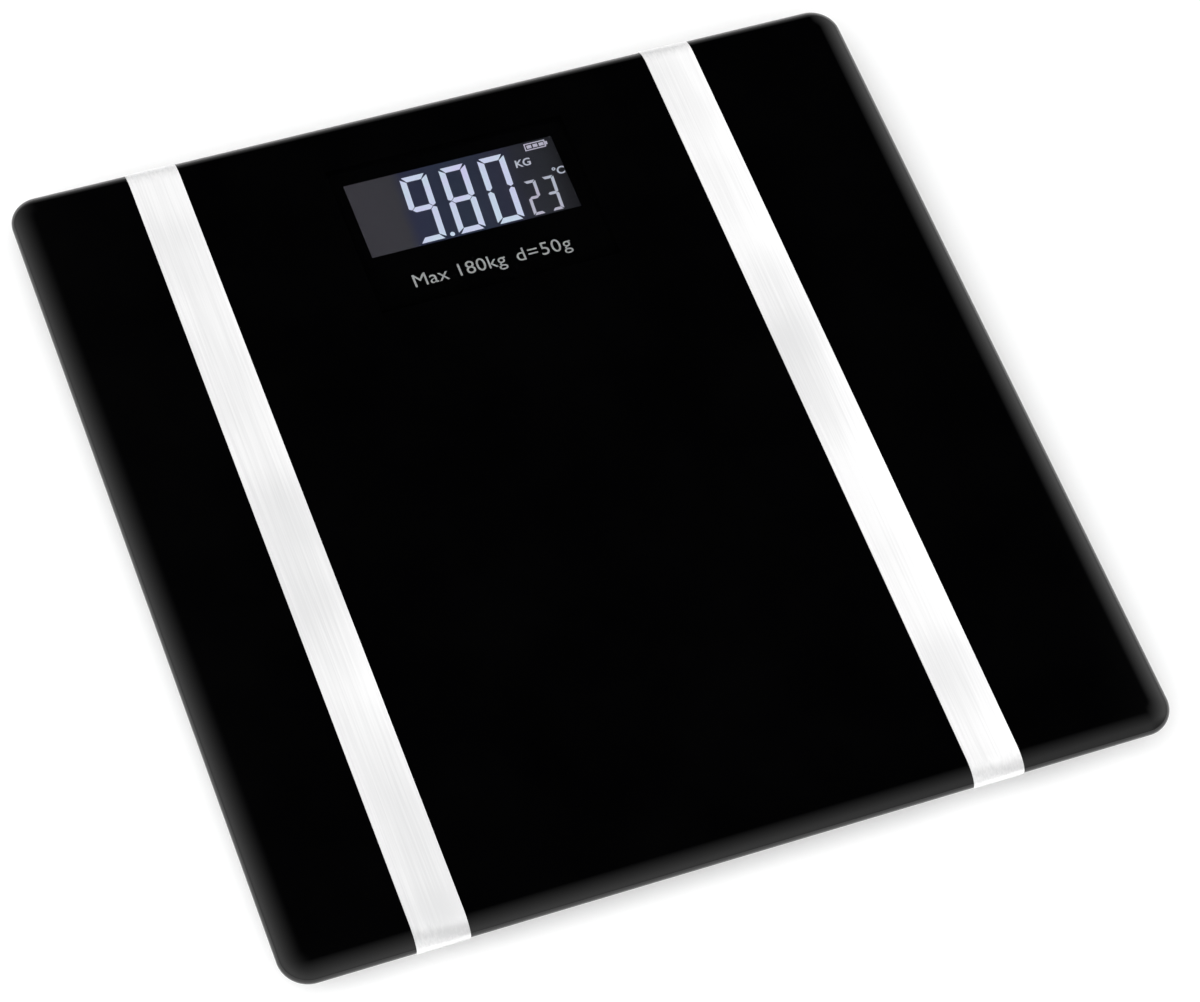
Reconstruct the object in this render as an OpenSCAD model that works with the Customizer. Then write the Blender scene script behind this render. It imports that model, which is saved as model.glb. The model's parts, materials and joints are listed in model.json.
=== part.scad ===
// Digital bathroom scale: a tempered-glass platform with two steel electrode strips on a shallow
// plastic tray, carried by four load cells, each pressing on its own foot.
// Millimetres. Origin on the floor under the middle of the platform, +Y to the display end, +Z up.

/* [Platform] */
// Width and depth of the glass platform
glass_w = 300; // [300:1:320]
// Thickness of the glass
glass_t = 6; // [5:0.5:6.5]
// Radius of the platform's corners
glass_corner_r = 10; // [9:1:20]
// How far in the rounding of the top edge starts
edge_fall_w = 8; // [5:0.5:8]
// How deep the rounding of the top edge falls
edge_fall_h = 4.2; // [3:0.1:4.4]
// Height of the standing surface above the floor
platform_h = 25; // [24.5:0.5:27]

/* [Electrode strips] */
// Width of each steel strip
strip_w = 17.5; // [12:0.5:20]
// Thickness of the steel
strip_t = 0.3; // [0.2:0.05:0.5]
// Middle of the left strip, across the platform
left_strip_x = -99.8; // [-101:0.1:-85]
// Middle of the right strip, across the platform
right_strip_x = 86.3; // [80:0.1:100]

/* [Display] */
// Width of the clear window in the black print
window_w = 75; // [60:1:76]
// Depth of the clear window, front to back
window_d = 30.5; // [24:0.5:31]
// Middle of the window, across the platform
window_x = -1.5; // [-3:0.5:6]
// Middle of the window, front to back
window_y = 110; // [107:0.5:111]

/* [Feet] */
// Distance of each foot's axis from the platform's middle, both ways
foot_pos = 110; // [109:0.5:110]
// Diameter of a foot where it passes through the tray
foot_d = 30.6; // [26:0.2:31]
// How far the tray's underside is above the floor
tray_gap = 3.2; // [2.5:0.1:3.6]

/* [Batteries] */
// Diameter of an AAA cell
cell_d = 10.5; // [10:0.1:10.6]
// Length of an AAA cell over its nub
cell_l = 44.5; // [43.5:0.1:44.5]
// Middle of the battery compartment, front to back
bay_y = 30; // [0:1:40]

/* [Hidden] */
$fn = 64;
touch = 0.01;          // how far a cutting shape runs past the face it cuts

// Heights, from the top down
glass_top = platform_h;
glass_bottom = glass_top - glass_t;
print_t = 0.12;
print_bottom = glass_bottom - print_t;
tape_t = 0.8;
tray_top = print_bottom - tape_t;
tray_bottom = tray_gap;
tray_floor_t = 1.8;
tray_floor = tray_bottom + tray_floor_t;

// Platform edge: a long elliptical fall on top and a small round below
edge_under_r = 1.4;
fall_steps = 12;
under_steps = 5;
print_inset = 2;
strip_return_front = 8;     // how far the strip runs back under the glass at the front
strip_return_rear = 24;     // and at the rear, where its lead is soldered on

// Tray
tray_w = glass_w - 24;
tray_r = 16;
tray_wall = 2;
tray_edge_r = 3;
rim_w = 6;
rim_t = 1.8;
rib_h = 3;
rib_t = 1.6;
cross_rib_y = [-60, -20];
long_rib_x = [-62, 60];
front_rib_x = [-30, 30];    // these end at the rear cross rib
side_rib_y = 66;            // and this one runs out to the side walls
screw_play = 0.5;           // how much wider a screw's hole is, and its head's recess
screw_recess_play = 0.6;
scoop_r = 8;

// Corners
CORNERS = [["front_left", -1, -1], ["front_right", 1, -1], ["rear_left", -1, 1], ["rear_right", 1, 1]];
foot_hole_d = foot_d + 0.8;
foot_flange_d = foot_d + 3;
foot_bottom = 1;
foot_flange_z = tray_floor + 0.3;
foot_flange_t = 1.2;
foot_wall = 1.8;
foot_boss_d = 12;
pad_d = foot_d - 4;
pad_recess = 1;
cell_plate_w = 34;
cell_plate_t = 2.4;
cell_plate_r = 3;
cell_plate_z = 9.4;
cell_bump = 0.6;            // bumps on top of the plate bear on the holder, and one below on the foot
cell_bump_x = 13.6;
cell_bump_d = 3;
cell_seat_y = -3;
cell_seat_d = 7;
holder_w = 42;
holder_r = 8;
holder_web_l = 6;
holder_web_w = 3;
holder_web_h = 5;
lead_mouth_w = 9;
lead_mouth_h = 4;
holder_pocket_w = cell_plate_w + 0.6;
holder_ceiling_z = cell_plate_z + cell_plate_t + cell_bump;
holder_ceiling_t = 2;
holder_wall = 2;
ear_out = 26;               // a holder's screw ears, from the foot's axis
ear_d = 8;
ear_top = 13;
screw_pad_h = 1.2;          // raised pad on the tray's floor under each ear
screw_d = 2.5;
screw_head_d = 5;
screw_head_t = 1.3;

// Display stack
board_t = 1.6;
board_w = 96;
board_d = 43;
board_z = 10.5;
board_top = board_z + board_t;
gasket_t = 0.5;
lcd_top = print_bottom - gasket_t;
lcd_w = 80;
lcd_d = 37;
lcd_glass_t = 1.1;
lcd_under_d = 31;
lcd_under_z = lcd_top - 2 * lcd_glass_t;
backlight_w = 76;
backlight_d = 29;
backlight_t = 3;
backlight_z = lcd_under_z - 0.1 - backlight_t;
lamp_l = 1.4;
lamp_w = 4;
lamp_h = 1.6;
frame_w = lcd_w + 4;
frame_d = lcd_d + 4;
frame_clear = 0.3;
frame_wall = 0.8;
frame_boss_d = 6.6;
frame_boss_h = 5;
zebra_w = 2.2;
zebra_l = 70;
zebra_y = (lcd_under_d + lcd_d) / 4;
board_screw_x = 44.6;
board_screw_y = 14;

// Headers for the leads, along the front of the board, from the left: rear left cell, front left
// cell, batteries, front right cell and rear right cell
header_x = [-37, -28, -18, 6, 16];
header_w = 7;
header_d = 4;
header_h = 4;
header_wall = 0.8;
header_y = -18.5;
header_z = board_z - header_h / 2;

// Leads
lead_d = 1.1;
lead_pitch = 1.6;
lead_z = 9;
long_lead_x = 72;
rear_turn_x = 74;
cell_lead_z = cell_plate_z + cell_plate_t + lead_d / 2;

// Unit button, under the board
button_x = 28;
button_y = 100;
button_d = 9;
button_flange_d = 12;
button_z = tray_bottom + 0.2;
button_top = 6;
button_dish_r = 20;
button_dish_h = 0.5;
switch_w = 6;
switch_z = 7;
stem_d = 3.4;

// Battery bay
bay_l = 53;
bay_w = 23;
bay_outer_l = 62;
bay_outer_w = 30;
bay_ceiling = 16.5;
bay_ceiling_t = 1.2;
cell_bottom_z = 5.65;
cell_z = cell_bottom_z + cell_d / 2;
cell_gap = 0.7;
cell_step = (cell_d + cell_gap) / 2;
contact_t = 0.3;
contact_slot_t = 1;
contact_face_x = bay_l / 2 - 0.1;
plate_h = 8.6;
battery_lead_z = 14;
lead_slot_l = 6;
nub_tip_x = bay_l / 2 - 0.5;
nub_l = 1;
nub_d = 3.8;
spring_wire = 0.5;
spring_turns = 4;
door_t = 1.7;
door_l = 55;
door_gap = 0.4;
hinge_r = 1.7;
door_half_d = 13;
hinge_y = bay_y - door_half_d + hinge_r;
hinge_z = tray_bottom + hinge_r;
hinge_pin_r = 0.9;
hinge_pin_play = 0.05;
hinge_pin_l = 1.5;
door_far_y = bay_y + door_half_d;
door_ridge_l = 40;
door_ridge_h = 1.2;
latch_w = 16;
latch_l = 7;
latch_slot = 1;
grip_pitch = 1.7;
grip_w = 0.8;
grip_h = 0.4;
snap_r = 0.3;

// ---- shared shapes ----

function arc(cx, cz, rx, rz, from, to, steps) =
    [for (i = [0:steps]) let (a = from + (to - from) * i / steps) [cx + rx * cos(a), cz + rz * sin(a)]];

// Outline of the platform's edge from its underside to its top, as [outward, height], where outward
// counts from the axis of the corner. grow moves it out, and drop lowers the underside alone.
function edge_points(grow = 0, drop = 0) = concat(
    arc(glass_corner_r - edge_under_r, glass_bottom + edge_under_r,
        edge_under_r + grow, edge_under_r + grow + drop, -90, 0, under_steps),
    arc(glass_corner_r - edge_fall_w, glass_top - edge_fall_h,
        edge_fall_w + grow, edge_fall_h + grow, 0, 90, fall_steps));

module rounded_rect(w, d, r) {
    square([w - 2 * r, d], center = true);
    square([w, d - 2 * r], center = true);
    for (x = [-1, 1], y = [-1, 1]) translate([x * (w / 2 - r), y * (d / 2 - r)]) circle(r = r);
}

module slab(w, d, r, z0, z1) {
    translate([0, 0, z0]) linear_extrude(height = z1 - z0) rounded_rect(w, d, r);
}

module ring_slab(w, d, r, inner_w, inner_d, inner_r, z0, z1) {
    difference() {
        slab(w, d, r, z0, z1);
        slab(inner_w, inner_d, inner_r, z0 - touch, z1 + touch);
    }
}

// A square slab whose whole edge has one profile, given from bottom to top as edge_points gives it
module profiled_slab(w, r, edge) {
    low = edge[0][1];
    high = edge[len(edge) - 1][1];
    side = w - 2 * r;
    section = concat([[0, low]], edge, [[0, high]]);
    translate([-side / 2, -side / 2, low]) cube([side, side, high - low]);
    for (k = [0:3]) rotate([0, 0, 90 * k]) {
        translate([side / 2, side / 2, 0]) rotate_extrude(angle = 90) polygon(section);
        translate([side / 2, 0, 0]) rotate([90, 0, 0])
            linear_extrude(height = side, center = true) polygon(section);
    }
}

function unit(v) = v / norm(v);

// A route with each of its bends cut to a short curve that starts r away from it
function rounded(points, r) = let (n = len(points)) [
    points[0],
    for (i = [1:n - 2])
        let (p = points[i], a = p + r * unit(points[i - 1] - p), b = p + r * unit(points[i + 1] - p))
        each [a, (a + 2 * p + b) / 4, b],
    points[n - 1]];

// A route moved d to one side, level, with its corners mitred
function side_of(p, q) = unit([p[1] - q[1], q[0] - p[0], 0]);
function beside(points, d) = let (n = len(points)) [
    for (i = [0:n - 1])
        let (before = side_of(points[max(i - 1, 0)], points[max(i, 1)]),
             after = side_of(points[min(i, n - 2)], points[min(i + 1, n - 1)]))
        points[i] + d * (before + after) / (1 + before * after)];

// A round wire swept along points as one closed skin
module swept(points, d, sides) {
    n = len(points);
    function along(i) = unit(points[min(i + 1, n - 1)] - points[max(i - 1, 0)]);
    function ring(i) = let (t = along(i), a = unit(cross(t, [0, 0, 1])), b = cross(a, t))
        [for (k = [0:sides - 1]) points[i] + d / 2 * (a * cos(360 * k / sides) + b * sin(360 * k / sides))];
    skin = [for (i = [0:n - 1]) each ring(i)];
    faces = concat(
        [[for (k = [sides - 1:-1:0]) k]], [[for (k = [0:sides - 1]) (n - 1) * sides + k]],
        [for (i = [0:n - 2], k = [0:sides - 1]) let (j = (k + 1) % sides)
            [i * sides + j, (i + 1) * sides + j, (i + 1) * sides + k, i * sides + k]]);
    polyhedron(skin, faces);
}

module lead(route) {
    swept(rounded(route, 2), lead_d, 6);
}

// Puts a corner's own frame, in which +X and +Y point away from the platform's middle, at that corner
module at_corner(corner) {
    translate([corner[1] * foot_pos, corner[2] * foot_pos, 0])
        mirror([corner[1] < 0 ? 1 : 0, 0, 0]) mirror([0, corner[2] < 0 ? 1 : 0, 0]) children();
}

module at_display() {
    translate([window_x, window_y, 0]) children();
}

module at_ears() {
    for (p = [[-ear_out, 0], [0, -ear_out]]) translate([p[0], p[1], 0]) children();
}

// ---- platform ----

module glass_platform() {
    color([0.02, 0.02, 0.025]) profiled_slab(glass_w, glass_corner_r, edge_points());
}

module back_print() {
    color("black") difference() {
        slab(glass_w - 2 * print_inset, glass_w - 2 * print_inset, glass_corner_r - print_inset,
             print_bottom, glass_bottom);
        translate([window_x - window_w / 2, window_y - window_d / 2, print_bottom - touch])
            cube([window_w, window_d, print_t + 2 * touch]);
    }
}

// Half of a strip's section: over the top, round the edge and back under the glass
module strip_half_section(return_l) {
    reach = glass_w / 2 - glass_corner_r;
    inner = edge_points(0, print_t);
    outer = edge_points(strip_t, print_t);
    last = len(inner) - 1;
    under = glass_w / 2 - return_l;
    points = concat(
        [[under, inner[0][1]]], [for (p = inner) [reach + p[0], p[1]]], [[0, inner[last][1]]],
        [[0, outer[last][1]]], [for (i = [last:-1:0]) [reach + outer[i][0], outer[i][1]]],
        [[under, outer[0][1]]]);
    polygon(points);
}

module electrode_strip(x) {
    color([0.86, 0.87, 0.88]) translate([x - strip_w / 2, 0, 0]) {
        rotate([90, 0, 90]) linear_extrude(height = strip_w) strip_half_section(strip_return_rear);
        translate([strip_w, 0, 0]) rotate([90, 0, -90])
            linear_extrude(height = strip_w) strip_half_section(strip_return_front);
    }
}

module mounting_tape() {
    notch_w = strip_w + 1;
    color([0.12, 0.12, 0.13]) difference() {
        ring_slab(tray_w, tray_w, tray_r, tray_w - 2 * rim_w, tray_w - 2 * rim_w, tray_r - rim_w,
                  tray_top, print_bottom);
        for (x = [left_strip_x, right_strip_x])
            translate([x - notch_w / 2, tray_w / 2 - rim_w - 1, print_bottom - strip_t])
                cube([notch_w, rim_w + 2, strip_t + 1]);
    }
}

// ---- tray ----

module tray_shell() {
    profile = concat(arc(tray_r - tray_edge_r, tray_bottom + tray_edge_r, tray_edge_r, tray_edge_r,
                         -90, 0, 5), [[tray_r, tray_top]]);
    inner_w = tray_w - 2 * tray_wall;
    difference() {
        profiled_slab(tray_w, tray_r, profile);
        slab(inner_w, inner_w, tray_r - tray_wall, tray_floor, tray_top + touch);
    }
    ring_slab(tray_w - tray_wall, tray_w - tray_wall, tray_r - tray_wall / 2,
              tray_w - 2 * rim_w, tray_w - 2 * rim_w, tray_r - rim_w, tray_top - rim_t, tray_top);
}

// Stiffening ribs on the tray's floor, clear of the holders, the board and the bay
module tray_ribs() {
    reach = tray_w / 2 - tray_wall;
    front_l = reach + cross_rib_y[1] + rib_t;
    side_l = reach - long_rib_x[1];
    for (y = cross_rib_y) translate([-reach, y, tray_floor]) cube([2 * reach, rib_t, rib_h]);
    for (x = long_rib_x) translate([x, -reach, tray_floor]) cube([rib_t, 2 * reach, rib_h]);
    for (x = front_rib_x) translate([x, -reach, tray_floor]) cube([rib_t, front_l, rib_h]);
    for (x = [-reach, long_rib_x[1]]) translate([x, side_rib_y, tray_floor]) cube([side_l, rib_t, rib_h]);
}

module bay_block() {
    translate([-bay_outer_l / 2, bay_y - bay_outer_w / 2, tray_floor])
        cube([bay_outer_l, bay_outer_w, bay_ceiling + bay_ceiling_t - tray_floor]);
}

module bay_cavity() {
    translate([-bay_l / 2, bay_y - bay_w / 2, tray_bottom - touch])
        cube([bay_l, bay_w, bay_ceiling - tray_bottom]);
    // opening for the door, with the hinge's channel along its front
    open_l = door_l + 2 * door_gap;
    front = hinge_y - hinge_r - door_gap;
    translate([-open_l / 2, front, tray_bottom - touch])
        cube([open_l, door_far_y + door_gap - front, tray_floor_t + touch]);
    translate([-open_l / 2, front, tray_bottom - touch])
        cube([open_l, 2 * hinge_r + 2 * door_gap, 2 * hinge_r + door_gap + touch]);
    // sockets for the hinge pins
    translate([0, hinge_y, hinge_z]) rotate([0, 90, 0])
        cylinder(r = hinge_pin_r + hinge_pin_play, h = open_l + 2 * hinge_pin_l, center = true);
    // slots for the contact plates, a clear gap round each
    for (s = [-1, 1]) translate([s * (contact_face_x + 0.2), bay_y, cell_z])
        cube([contact_slot_t, bay_w - 1, plate_h + 1.4], center = true);
    // slots through the left wall for the battery leads
    for (s = [-1, 1]) translate([-bay_outer_l / 2 - 1, bay_y + s * cell_step - 1, battery_lead_z - 2])
        cube([lead_slot_l, 2, 3.5]);
}

module tray_openings() {
    for (c = CORNERS) at_corner(c) {
        translate([0, 0, tray_bottom - 1]) cylinder(d = foot_hole_d, h = tray_floor_t + 2);
        at_ears() translate([0, 0, tray_bottom - 1]) {
            cylinder(d = screw_d + screw_play, h = tray_floor_t + screw_pad_h + 2);
            cylinder(d = screw_head_d + screw_recess_play, h = 1 + screw_head_t + 0.1);
        }
    }
    translate([button_x, button_y, tray_bottom - 1]) cylinder(d = button_d + 0.6, h = tray_floor_t + 2);
    // fingernail scoop in front of the door's catch
    translate([0, door_far_y + door_gap + 1, tray_floor - scoop_r - 0.4]) sphere(r = scoop_r);
}

module base_tray() {
    color([0.05, 0.05, 0.055]) difference() {
        union() {
            tray_shell();
            tray_ribs();
            bay_block();
            for (c = CORNERS) at_corner(c) at_ears()
                translate([0, 0, tray_floor]) cylinder(d = ear_d + 1, h = screw_pad_h);
        }
        bay_cavity();
        tray_openings();
    }
}

// A cross-head screw with its head at the bottom, at head_z
module pan_screw(head_z, length) {
    cross_l = 3;
    cross_w = 0.7;
    translate([0, 0, head_z]) {
        difference() {
            cylinder(d = screw_head_d, h = screw_head_t);
            for (a = [0, 90]) rotate([0, 0, a])
                translate([-cross_l / 2, -cross_w / 2, -touch]) cube([cross_l, cross_w, cross_w]);
        }
        translate([0, 0, screw_head_t - touch]) cylinder(d = screw_d, h = length);
    }
}

module tray_screws() {
    color("silver") for (c = CORNERS) at_corner(c) at_ears() pan_screw(tray_bottom + 0.05, 6.5);
}

// ---- display ----

module display_gasket() {
    color([0.1, 0.1, 0.1]) at_display()
        ring_slab(lcd_w, window_d + 5, 1, window_w + 1, window_d + 1, 0.5, lcd_top, print_bottom);
}

module lcd_panel() {
    color([0.12, 0.13, 0.17]) at_display() {
        translate([-lcd_w / 2, -lcd_d / 2, lcd_top - lcd_glass_t]) cube([lcd_w, lcd_d, lcd_glass_t]);
        translate([-lcd_w / 2, -lcd_under_d / 2, lcd_under_z]) cube([lcd_w, lcd_under_d, lcd_glass_t]);
    }
}

module backlight_panel() {
    color([0.9, 0.92, 1]) at_display() {
        translate([-backlight_w / 2, -backlight_d / 2, backlight_z])
            cube([backlight_w, backlight_d, backlight_t]);
        // lamp pads on the short side
        for (y = [-8, 8]) translate([backlight_w / 2, y - lamp_w / 2, backlight_z])
            cube([lamp_l, lamp_w, lamp_h]);
    }
}

module at_board_screws() {
    for (x = [-1, 1], y = [-1, 1]) translate([x * board_screw_x, y * board_screw_y, 0]) children();
}

module display_frame() {
    color([0.16, 0.16, 0.17]) at_display() difference() {
        union() {
            ring_slab(frame_w, frame_d, 2, lcd_w + 2 * frame_clear, lcd_d + 2 * frame_clear, 0.6,
                      board_top, lcd_top);
            // walls between the light panel and the connectors
            for (s = [-1, 1])
                translate([-frame_w / 2 + 1, s * (backlight_d / 2 + 0.6) - frame_wall / 2, board_top])
                    cube([frame_w - 2, frame_wall, backlight_z + backlight_t - board_top]);
            at_board_screws() translate([0, 0, board_top]) cylinder(d = frame_boss_d, h = frame_boss_h);
        }
        at_board_screws() translate([0, 0, board_top - touch])
            cylinder(d = screw_d + 0.1, h = frame_boss_h - 0.5);
    }
}

module zebra_connectors() {
    color([0.75, 0.35, 0.45]) at_display() for (s = [-1, 1])
        translate([-zebra_l / 2, s * zebra_y - zebra_w / 2, board_top])
            cube([zebra_l, zebra_w, lcd_top - lcd_glass_t - board_top]);
}

module circuit_board() {
    color([0.05, 0.3, 0.14]) at_display() difference() {
        slab(board_w, board_d, 2, board_z, board_top);
        at_board_screws() translate([0, 0, board_z - 1]) cylinder(d = screw_d + 0.4, h = board_t + 2);
    }
}

module board_screws() {
    color("silver") at_display() at_board_screws() pan_screw(board_z - screw_head_t, 4);
}

module controller_blob() {
    // the epoxy drop over the bonded chip, a cap of a large ball
    blob_r = 11;
    blob_h = 2.2;
    color([0.04, 0.04, 0.04]) at_display() translate([-10, 0, board_z]) intersection() {
        translate([0, 0, blob_r - blob_h]) sphere(r = blob_r);
        translate([0, 0, -blob_h - 1]) cylinder(r = blob_r, h = blob_h + 1);
    }
}

// A row of count chips under the board from [x, y], pitch apart, each of the given size
module chip_row(from, pitch, count, size) {
    for (i = [0:count - 1])
        translate([from[0] + pitch[0] * i, from[1] + pitch[1] * i, board_z - size[2]]) cube(size);
}

module board_components() {
    can_d = 5;
    can_h = 4.2;
    crystal = [8, 3, 2.5];
    color([0.55, 0.45, 0.3]) at_display() {
        chip_row([8, 14], [3, 0], 8, [1.2, 2, 0.6]);
        chip_row([-36, 14], [4, 0], 6, [1.3, 2.1, 0.8]);
        chip_row([-38, -2], [0, 3.6], 4, [2, 1.2, 0.7]);
        chip_row([-26, -4], [0, 0], 1, crystal);
        // two electrolytic capacitors
        for (y = [-6, 3]) translate([12, y, board_z - can_h]) cylinder(d = can_d, h = can_h);
    }
}

module lead_headers() {
    color([0.92, 0.9, 0.84]) at_display() for (x = header_x)
        translate([x - header_w / 2, header_y, board_z - header_h]) difference() {
            cube([header_w, header_d, header_h]);
            translate([header_wall, -touch, header_wall])
                cube([header_w - 2 * header_wall, header_d - 1.2, header_h - 2 * header_wall]);
        }
}

module temperature_sensor() {
    // thermistor bead on two legs at the board's right end
    bead_d = 2.6;
    leg_d = 0.5;
    leg_l = 3.4;
    color([0.1, 0.2, 0.15]) at_display() translate([38, -8, board_z]) {
        translate([0, 0, -leg_l - 0.2]) sphere(d = bead_d, $fn = 32);
        for (y = [-0.6, 0.6]) translate([0, y, -leg_l]) cylinder(d = leg_d, h = leg_l, $fn = 16);
    }
}

module switch_body() {
    color([0.2, 0.2, 0.22]) translate([button_x, button_y, 0]) difference() {
        translate([-switch_w / 2, -switch_w / 2, switch_z]) cube([switch_w, switch_w, board_z - switch_z]);
        translate([0, 0, switch_z - touch]) cylinder(d = stem_d + 0.2, h = 1.8);
    }
}

module switch_stem() {
    color([0.75, 0.6, 0.2]) translate([button_x, button_y, button_top]) cylinder(d = stem_d, h = 2);
}

module unit_button() {
    color([0.1, 0.1, 0.11]) translate([button_x, button_y, 0]) {
        difference() {
            translate([0, 0, button_z]) cylinder(d = button_d, h = tray_floor - button_z + 0.25);
            translate([0, 0, button_z + button_dish_h - button_dish_r]) sphere(r = button_dish_r);
        }
        translate([0, 0, tray_floor + 0.2]) cylinder(d = button_flange_d, h = button_top - tray_floor - 0.2);
    }
}

// ---- corners ----

// A load cell's plate: a U-shaped slot leaves a tongue in its middle, which narrows to a neck
module cell_outline() {
    slot = 1.6;
    slot_y = -11;
    slot_l = 21;
    tongue_w = 18;
    notch_w = 4;
    notch_y = 4;
    notch_l = 6;
    difference() {
        rounded_rect(cell_plate_w, cell_plate_w, cell_plate_r);
        for (s = [-1, 1]) translate([s * (tongue_w + slot) / 2 - slot / 2, slot_y]) square([slot, slot_l]);
        translate([-tongue_w / 2 - slot / 2, slot_y]) square([tongue_w + slot, slot]);
        for (s = [0, 1]) mirror([s, 0]) translate([tongue_w / 2 - notch_w, notch_y])
            square([notch_w + touch, notch_l]);
    }
}

module load_cell() {
    color([0.7, 0.71, 0.72]) {
        translate([0, 0, cell_plate_z]) linear_extrude(height = cell_plate_t) cell_outline();
        for (x = [-cell_bump_x, cell_bump_x], y = [-cell_bump_x, cell_bump_x])
            translate([x, y, cell_plate_z + cell_plate_t - touch])
                cylinder(d = cell_bump_d, h = cell_bump + touch);
        translate([0, cell_seat_y, cell_plate_z - cell_bump])
            cylinder(d = cell_seat_d, h = cell_bump + touch);
    }
}

module gauge_seals() {
    seal_y = 7.5;
    seal_t = 0.5;
    color("white") for (c = CORNERS) at_corner(c) translate([0, seal_y, cell_plate_z + cell_plate_t])
        slab(8, 6, 1.5, 0, seal_t);
}

module load_cell_holder() {
    ear_bottom = tray_floor + screw_pad_h;
    holder_rib_t = 1.8;
    relief_d = 12;
    relief_h = 1.8;
    color([0.13, 0.13, 0.14]) difference() {
        union() {
            slab(holder_w, holder_w, holder_r, tray_floor, holder_ceiling_z + holder_ceiling_t);
            ring_slab(holder_w, holder_w, holder_r, holder_w - 2 * holder_wall, holder_w - 2 * holder_wall,
                      holder_r - holder_wall, holder_ceiling_z, print_bottom);
            // a cross of ribs carries the glass
            for (a = [0, 90]) rotate([0, 0, a])
                translate([1 - holder_w / 2, -holder_rib_t / 2, holder_ceiling_z])
                    cube([holder_w - 2, holder_rib_t, print_bottom - holder_ceiling_z]);
            at_ears() translate([0, 0, ear_bottom]) cylinder(d = ear_d, h = ear_top - ear_bottom);
            // webs from the walls out to the ears
            translate([-ear_out, -holder_web_w / 2, ear_bottom])
                cube([holder_web_l, holder_web_w, holder_web_h]);
            translate([-holder_web_w / 2, -ear_out, ear_bottom])
                cube([holder_web_w, holder_web_l, holder_web_h]);
        }
        slab(holder_pocket_w, holder_pocket_w, cell_plate_r + 0.2, tray_floor - touch, holder_ceiling_z);
        // the tray's raised screw pads reach under the walls
        at_ears() translate([0, 0, tray_floor - touch]) cylinder(d = ear_d + 1.4, h = screw_pad_h + touch);
        at_ears() translate([0, 0, tray_floor]) cylinder(d = screw_d + 0.1, h = ear_top - tray_floor - 1);
        // mouth for the leads, in the corner that faces the middle
        translate([-holder_w / 2 - 1, -holder_w / 2 - 1, cell_plate_z])
            cube([lead_mouth_w, lead_mouth_w, lead_mouth_h]);
        // relief for a strip's end and its lead, under the glass
        translate([-holder_w / 2 - 1, holder_w / 2 - relief_d + 1, print_bottom - relief_h])
            cube([holder_w / 2 + 1, relief_d, relief_h + touch]);
    }
}

module foot_cap() {
    foot_top = cell_plate_z - cell_bump;
    chamfer = 0.6;
    hollow_z = 3.4;
    spoke_w = 1.4;
    spoke_top = 6.4;
    color([0.1, 0.1, 0.105]) difference() {
        union() {
            rotate_extrude() polygon([
                [0, foot_bottom], [foot_d / 2 - chamfer, foot_bottom], [foot_d / 2, foot_bottom + chamfer],
                [foot_d / 2, foot_flange_z], [foot_flange_d / 2, foot_flange_z],
                [foot_flange_d / 2, foot_flange_z + foot_flange_t], [0, foot_flange_z + foot_flange_t]]);
            cylinder(d = foot_boss_d, h = foot_top);
        }
        translate([0, 0, -1]) cylinder(d = pad_d + 0.2, h = foot_bottom + pad_recess + 1);
        // hollow above the pad, with six spokes from the rim to the boss
        difference() {
            translate([0, 0, hollow_z]) cylinder(d = foot_d - 2 * foot_wall, h = foot_top);
            cylinder(d = foot_boss_d, h = 2 * foot_top);
            for (a = [0:60:120]) rotate([0, 0, a])
                translate([-foot_d / 2, -spoke_w / 2, 0]) cube([foot_d, spoke_w, spoke_top]);
        }
    }
}

module foot_pad() {
    groove_w = 1.2;
    groove_h = 0.5;
    groove_r = [4, 8];
    color([0.25, 0.25, 0.26]) difference() {
        cylinder(d = pad_d, h = foot_bottom + pad_recess);
        for (r = groove_r) difference() {
            translate([0, 0, -touch]) cylinder(r = r + groove_w, h = groove_h + touch);
            translate([0, 0, -1]) cylinder(r = r, h = groove_h + 2);
        }
    }
}

// ---- leads ----

// Three leads side by side, from the top of a load cell's plate to the mouth of its header
module cell_leads(route) {
    color([0.7, 0.1, 0.1]) for (k = [-1, 0, 1]) lead(beside(route, k * lead_pitch));
}

// The middle lead's way out of a holder, at the corner with the given signs
function way_out(sx, sy) = [for (r = [94, 85]) [sx * r, sy * r, cell_lead_z]];

// A front cell's leads run back along the tray's side
function front_run(s) = [for (y = [-70, 60]) [s * long_lead_x, y, lead_z]];

// And the way into a header, from straight in front of it at the given y
function way_in(header, y) = let (x = window_x + header_x[header])
    [[x, y, lead_z], [x, window_y + header_y + 2, header_z]];

module leads_front_left() {
    cell_leads(concat(way_out(-1, -1), front_run(-1), way_in(1, 80)));
}

module leads_front_right() {
    cell_leads(concat(way_out(1, -1), front_run(1), way_in(3, 80)));
}

module leads_rear_left() {
    cell_leads(concat(way_out(-1, 1), [[-rear_turn_x, 80, lead_z]], way_in(0, 82)));
}

module leads_rear_right() {
    cell_leads(concat(way_out(1, 1), [[rear_turn_x, 80, lead_z]], way_in(4, 82)));
}

module battery_leads() {
    contact_back = contact_face_x + contact_t;
    color([0.8, 0.1, 0.1]) for (s = [-1, 1]) {
        y = bay_y + s * cell_step;
        shift = [s * 1.2, 0, 0];
        start = [for (x = [-contact_back, -bay_outer_l / 2]) [x, y, battery_lead_z]];
        lead(concat(start, [[-36, y, 11], [-38, 50, lead_z] + shift],
                    [for (p = way_in(2, 70)) p + shift]));
    }
}

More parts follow.
